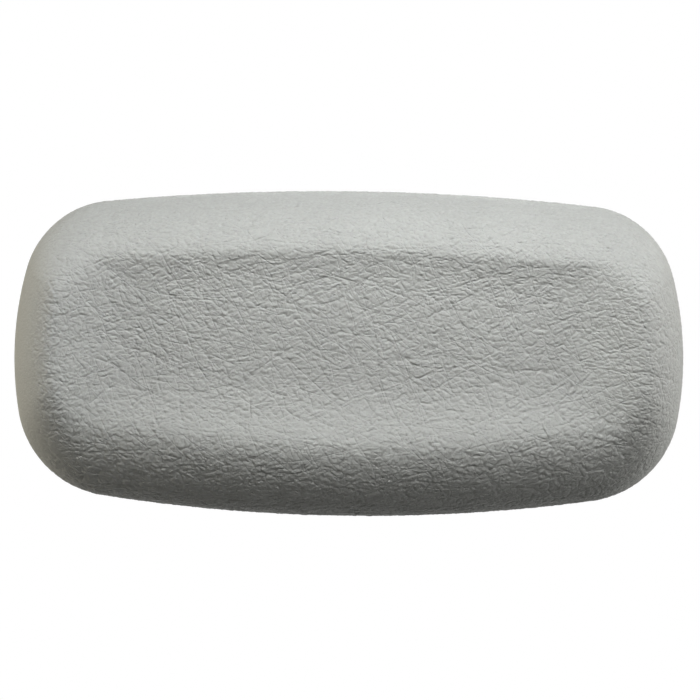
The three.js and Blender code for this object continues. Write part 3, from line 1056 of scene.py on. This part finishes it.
class BATHPILLOW_OT_foam_core(bpy.types.Operator):
    """Soft foam that fills the skin, with seats for the anchor plate's bosses and ribs"""

    bl_idname = "bath_pillow.foam_core"
    bl_label = "Foam Core"

    def execute(self, context):
        scene = context.scene
        form = scene.bath_pillow_form
        sizes = scene.bath_pillow_fittings
        gap = sizes.fit_gap
        foam = grid_bmesh(to_frame(grid_places(foam_rings(form, sizes), INNER_FLOOR_CELLS)))
        rim = [edge for edge in foam.edges if edge.is_boundary]
        bmesh.ops.holes_fill(foam, edges=rim, sides=0)
        bmesh.ops.recalc_face_normals(foam, faces=foam.faces)
        seats = bmesh.new()
        for x, _, z in CUP_PLACES.values():
            post(seats, x, z, sizes.boss_radius + gap, form.rebate_depth, sizes.socket_front + gap)
        for z in (sizes.rib_offset, -sizes.rib_offset):
            beam(
                seats,
                sizes.rib_length + 2 * gap,
                sizes.rib_thickness + 2 * gap,
                z,
                form.rebate_depth,
                sizes.rib_front + gap,
            )
        foam = combined(foam, seats, "DIFFERENCE")
        pegs = bmesh.new()
        reach = max(x for x, _, _ in CUP_PLACES.values())
        for x in np.linspace(-reach, reach, sizes.peg_count):
            post(pegs, x, 0, sizes.peg_radius, form.rebate_depth, sizes.foam_back + sizes.peg_radius)
        foam = combined(foam, pegs, "UNION")
        flat_along_y(foam)
        piece = finish_piece("foam_filling", foam, foam_finish(scene.bath_pillow_finish.foam))
        place_piece(piece, PILLOW_BODY, "foam_core")
        return {"FINISHED"}


class BATHPILLOW_OT_anchor_plate(bpy.types.Operator):
    """Finish of the stiff plate that carries the sockets"""

    bl_idname = "bath_pillow.anchor_plate"
    bl_label = "Anchor Plate"

    def execute(self, context):
        tint = context.scene.bath_pillow_finish.plate
        plate = frame["nodes"]["anchor_plate"]
        plate.data.materials.clear()
        plate.data.materials.append(moulded_plastic_finish("plate_plastic", tint, 0.55, 900.0))
        return {"FINISHED"}


class BATHPILLOW_OT_rear_panel(bpy.types.Operator):
    """Smooth rear panel with rounded edges and holes for the sockets"""

    bl_idname = "bath_pillow.rear_panel"
    bl_label = "Rear Panel"

    def execute(self, context):
        scene = context.scene
        form = scene.bath_pillow_form
        sizes = scene.bath_pillow_fittings
        bm = bmesh.new()
        inset = form.rear_edge + form.rear_land + sizes.fit_gap
        outline = pillow_outline(form, inset)[::PANEL_STRIDE]
        loop = [bm.verts.new((x, BACK_Y, z)) for x, z in outline]
        for start, end in zip(loop, loop[1:] + loop[:1]):
            bm.edges.new((start, end))
        for x, _, z in CUP_PLACES.values():
            turn = Matrix.Translation((x, BACK_Y, z)) @ Matrix.Rotation(math.pi / 2, 4, "X")
            bmesh.ops.create_circle(bm, segments=HOLE_SIDES, radius=sizes.socket_hole, matrix=turn)
        bmesh.ops.triangle_fill(bm, use_beauty=True, edges=bm.edges, normal=(0, 1, 0))
        grown = bmesh.ops.extrude_face_region(bm, geom=bm.faces[:])["geom"]
        front = [item for item in grown if isinstance(item, bmesh.types.BMVert)]
        bmesh.ops.translate(bm, verts=front, vec=(0, -sizes.panel_thickness, 0))
        bmesh.ops.recalc_face_normals(bm, faces=bm.faces)
        round_edges(bm, 60, sizes.edge_round, 3)
        flat_along_y(bm)
        material = rear_skin_finish(scene.bath_pillow_finish.rear_skin)
        piece = finish_piece("smooth_rear_panel", bm, material)
        place_piece(piece, PILLOW_BODY, "rear_panel")
        return {"FINISHED"}


class BATHPILLOW_OT_sockets(bpy.types.Operator):
    """Blind sockets that clip through the rear panel and hold the suction cups' heads"""

    bl_idname = "bath_pillow.sockets"
    bl_label = "Sockets"

    def execute(self, context):
        scene = context.scene
        sizes = scene.bath_pillow_fittings
        flange_face = -sizes.fit_gap - sizes.flange_thickness
        profile = [
            (0, sizes.socket_front),
            (sizes.barrel_radius, sizes.socket_front),
            (sizes.barrel_radius + sizes.bead, sizes.bead_back + sizes.bead),
            (sizes.barrel_radius + sizes.bead, sizes.bead_back),
            (sizes.barrel_radius, sizes.bead_back),
            (sizes.barrel_radius, -sizes.fit_gap),
            (sizes.flange_radius, -sizes.fit_gap),
            (sizes.flange_radius, flange_face + sizes.flange_thickness / 2),
            (sizes.flange_radius - sizes.flange_thickness / 2, flange_face),
            (sizes.mouth_radius, flange_face),
            (sizes.mouth_radius, sizes.mouth_front),
            (sizes.chamber_radius, sizes.mouth_front),
            (sizes.chamber_radius, sizes.chamber_front),
            (0, sizes.chamber_front),
        ]
        material = moulded_plastic_finish("socket_plastic", scene.bath_pillow_finish.socket, 0.38, 700.0)
        for place, (x, _, z) in CUP_PLACES.items():
            bm = spun(profile, SPIN_STEPS)
            round_edges(bm, 30, sizes.edge_round / 2, 2)
            bmesh.ops.translate(bm, verts=bm.verts, vec=(x, BACK_Y, z))
            smooth_faces(bm)
            piece = finish_piece(f"moulded_socket_{place}", bm, material)
            piece.data.set_sharp_from_angle(angle=math.radians(40))
            place_piece(piece, PILLOW_BODY, f"socket_{place}")
        return {"FINISHED"}


class BATHPILLOW_OT_suction_cups(bpy.types.Operator):
    """Soft clear suction cups, each with its pull tab, that swivel in their sockets"""

    bl_idname = "bath_pillow.suction_cups"
    bl_label = "Suction Cups"

    def bell(self, sizes):
        neck_end = sizes.cup_height + sizes.neck_length
        tip = neck_end + sizes.head_height
        both_radii = sizes.cup_radius + sizes.shoulder_radius
        flare = (both_radii * FLARE_PULL[0], sizes.cup_height * FLARE_PULL[1])
        hollow = (sizes.cup_radius * HOLLOW_PULL[0], sizes.hollow_depth * HOLLOW_PULL[1])
        rim = sizes.cup_radius
        profile = bend((0, tip), (sizes.head_radius, tip), (sizes.head_radius, neck_end), 12)
        profile.append((sizes.head_radius, neck_end))
        profile.append((sizes.neck_radius, neck_end))
        profile.append((sizes.neck_radius, sizes.cup_height))
        profile += bend((sizes.shoulder_radius, sizes.cup_height), flare, (rim, sizes.rim_thickness), 20)
        profile.append((rim, sizes.rim_thickness))
        profile.append((rim, 0))
        profile += bend((rim - sizes.rim_width, 0), hollow, (0, sizes.hollow_depth), 20)
        profile.append((0, sizes.hollow_depth))
        return spun(profile, SPIN_STEPS)

    def tab(self, sizes):
        bm = bmesh.new()
        half = sizes.tab_width / 2
        root = -(sizes.cup_radius - sizes.rim_width / 2)
        round_middle = (0, -(sizes.cup_radius + sizes.tab_reach - half))
        round_end = arc(round_middle, half, math.pi, 2 * math.pi, 24)
        tongue = [(half, root), (-half, root), *round_end, (half, round_middle[1])]
        face = bm.faces.new([bm.verts.new((x, -sizes.tab_recess, z)) for x, z in tongue])
        grown = bmesh.ops.extrude_face_region(bm, geom=[face])["geom"]
        front = [item for item in grown if isinstance(item, bmesh.types.BMVert)]
        bmesh.ops.translate(bm, verts=front, vec=(0, -sizes.tab_thickness, 0))
        bmesh.ops.recalc_face_normals(bm, faces=bm.faces)
        round_edges(bm, 60, sizes.edge_round / 2, 2)
        return bm

    def execute(self, context):
        scene = context.scene
        sizes = scene.bath_pillow_fittings
        bell = self.bell(sizes)
        round_edges(bell, 50, sizes.edge_round / 2, 2)
        cup = combined(bell, self.tab(sizes), "UNION")
        smooth_faces(cup)
        material = clear_vinyl_finish(scene.bath_pillow_finish.vinyl)
        for place, (x, _, z) in CUP_PLACES.items():
            copy = cup.copy()
            bmesh.ops.translate(copy, verts=copy.verts, vec=(x, 0, z))
            piece = finish_piece(f"clear_cup_{place}", copy, material)
            piece.data.set_sharp_from_angle(angle=math.radians(40))
            place_piece(piece, f"{place}_cup", f"suction_cup_{place}")
        cup.free()
        return {"FINISHED"}


# Slight tints of the lamps
NEUTRAL = (1.0, 1.0, 1.0)
COOL = (0.92, 0.96, 1.0)
WARM = (1.0, 0.93, 0.78)

# Lamps: place in metres, side length in metres, power in watts and tint
LAMPS = {
    "front": ((0.0, -0.55, 0.35), 0.4, 1.38, NEUTRAL),
    "front_right": ((0.15, -0.55, 0.35), 0.4, 1.54, NEUTRAL),
    "top": ((0.05, -0.25, 0.32), 0.3, 1.15, COOL),
    "left": ((-0.44, -0.03, 0.0), 0.3, 0.72, WARM),
    "left_top": ((-0.4, -0.2, 0.25), 0.3, 0.3, NEUTRAL),
    "right": ((0.42, -0.02, -0.1), 0.3, 0.42, NEUTRAL),
    "right_high": ((0.42, 0.0, 0.12), 0.3, 0.81, NEUTRAL),
    "back": ((0.0, 0.7, 0.35), 0.4, 4.0, NEUTRAL),
}
LAMP_AIM = Vector((0, -0.04, 0))
CAMERA_PLACE = (0.00045, -0.0267, 0.0016)
CAMERA_ROLL = -0.695
SENSOR_WIDTH = 36.0


class BATHPILLOW_OT_stage(bpy.types.Operator):
    """Pale floor, soft lamps, white surroundings and the camera"""

    bl_idname = "bath_pillow.stage"
    bl_label = "Stage"

    def floor(self, scene, stage):
        bm = bmesh.new()
        half = stage.floor_size / 2
        middle = Matrix.Translation((0, stage.floor_end - half, -stage.floor_drop))
        bmesh.ops.create_grid(bm, x_segments=8, y_segments=8, size=half, matrix=middle)
        floor = finish_piece("floor", bm, floor_finish(scene.bath_pillow_finish.floor))

    def world(self, scene, stage):
        """White for what the camera, gloss and clear pieces see, and a dim light on everything else."""
        world = bpy.data.worlds.new("studio")
        world.use_nodes = True
        tree = world.node_tree
        background = tree.nodes["Background"]
        strength = math_node(tree, "MAXIMUM", seen_rays(tree), stage.ambient)
        tree.links.new(strength, background.inputs["Strength"])
        socket_value(background, "Color", (1, 1, 1, 1))
        scene.world = world

    def lamps(self, scene):
        for name, (place, side, power, tint) in LAMPS.items():
            data = bpy.data.lights.new(f"{name}_lamp", "AREA")
            data.shape = "SQUARE"
            data.size = side
            data.energy = power
            data.color = tint
            lamp = bpy.data.objects.new(f"{name}_lamp", data)
            lamp.location = place
            lamp.rotation_euler = (Vector(place) - LAMP_AIM).to_track_quat("Z", "Y").to_euler()
            lamp.visible_camera = False
            scene.collection.objects.link(lamp)

    def camera(self, scene, stage):
        data = bpy.data.cameras.new("camera")
        data.lens = stage.lens
        data.sensor_width = SENSOR_WIDTH
        camera = bpy.data.objects.new("camera", data)
        distance = stage.view_width / SENSOR_WIDTH * stage.lens
        camera.location = Vector(CAMERA_PLACE) - Vector((0, distance, 0))
        camera.rotation_euler = (math.pi / 2, math.radians(CAMERA_ROLL), 0)
        scene.collection.objects.link(camera)
        scene.camera = camera

    def execute(self, context):
        scene = context.scene
        stage = scene.bath_pillow_stage
        scene.view_settings.view_transform = "Standard"
        self.floor(scene, stage)
        self.world(scene, stage)
        self.lamps(scene)
        self.camera(scene, stage)
        return {"FINISHED"}


class BATHPILLOW_PT_sidebar(bpy.types.Panel):
    """Sizes, colours and steps of the bath pillow"""

    bl_idname = "BATHPILLOW_PT_sidebar"
    bl_label = "Bath Pillow"
    bl_space_type = "VIEW_3D"
    bl_region_type = "UI"
    bl_category = "Bath Pillow"

    def draw(self, context):
        for step in STEPS:
            self.layout.operator(step.bl_idname)
        for name in SETTINGS:
            box = self.layout.box()
            settings = getattr(context.scene, name)
            for title in settings.__annotations__:
                box.prop(settings, title, text=title.replace("_", " ").title())


SETTINGS = {
    "bath_pillow_form": PillowForm,
    "bath_pillow_grain": SkinGrain,
    "bath_pillow_fittings": FittingSizes,
    "bath_pillow_finish": PillowFinish,
    "bath_pillow_stage": StageSettings,
}
STEPS = (
    BATHPILLOW_OT_front_skin,
    BATHPILLOW_OT_foam_core,
    BATHPILLOW_OT_anchor_plate,
    BATHPILLOW_OT_rear_panel,
    BATHPILLOW_OT_sockets,
    BATHPILLOW_OT_suction_cups,
    BATHPILLOW_OT_stage,
)


def register():
    for item in (*SETTINGS.values(), *STEPS, BATHPILLOW_PT_sidebar):
        bpy.utils.register_class(item)
    for name, group in SETTINGS.items():
        setattr(bpy.types.Scene, name, bpy.props.PointerProperty(type=group))


def unregister():
    for name in SETTINGS:
        delattr(bpy.types.Scene, name)
    for item in (BATHPILLOW_PT_sidebar, *reversed(STEPS), *SETTINGS.values()):
        bpy.utils.unregister_class(item)


def main():
    register()
    for step in STEPS:
        group, name = step.bl_idname.split(".")
        getattr(getattr(bpy.ops, group), name)()


if __name__ == "__main__":
    main()
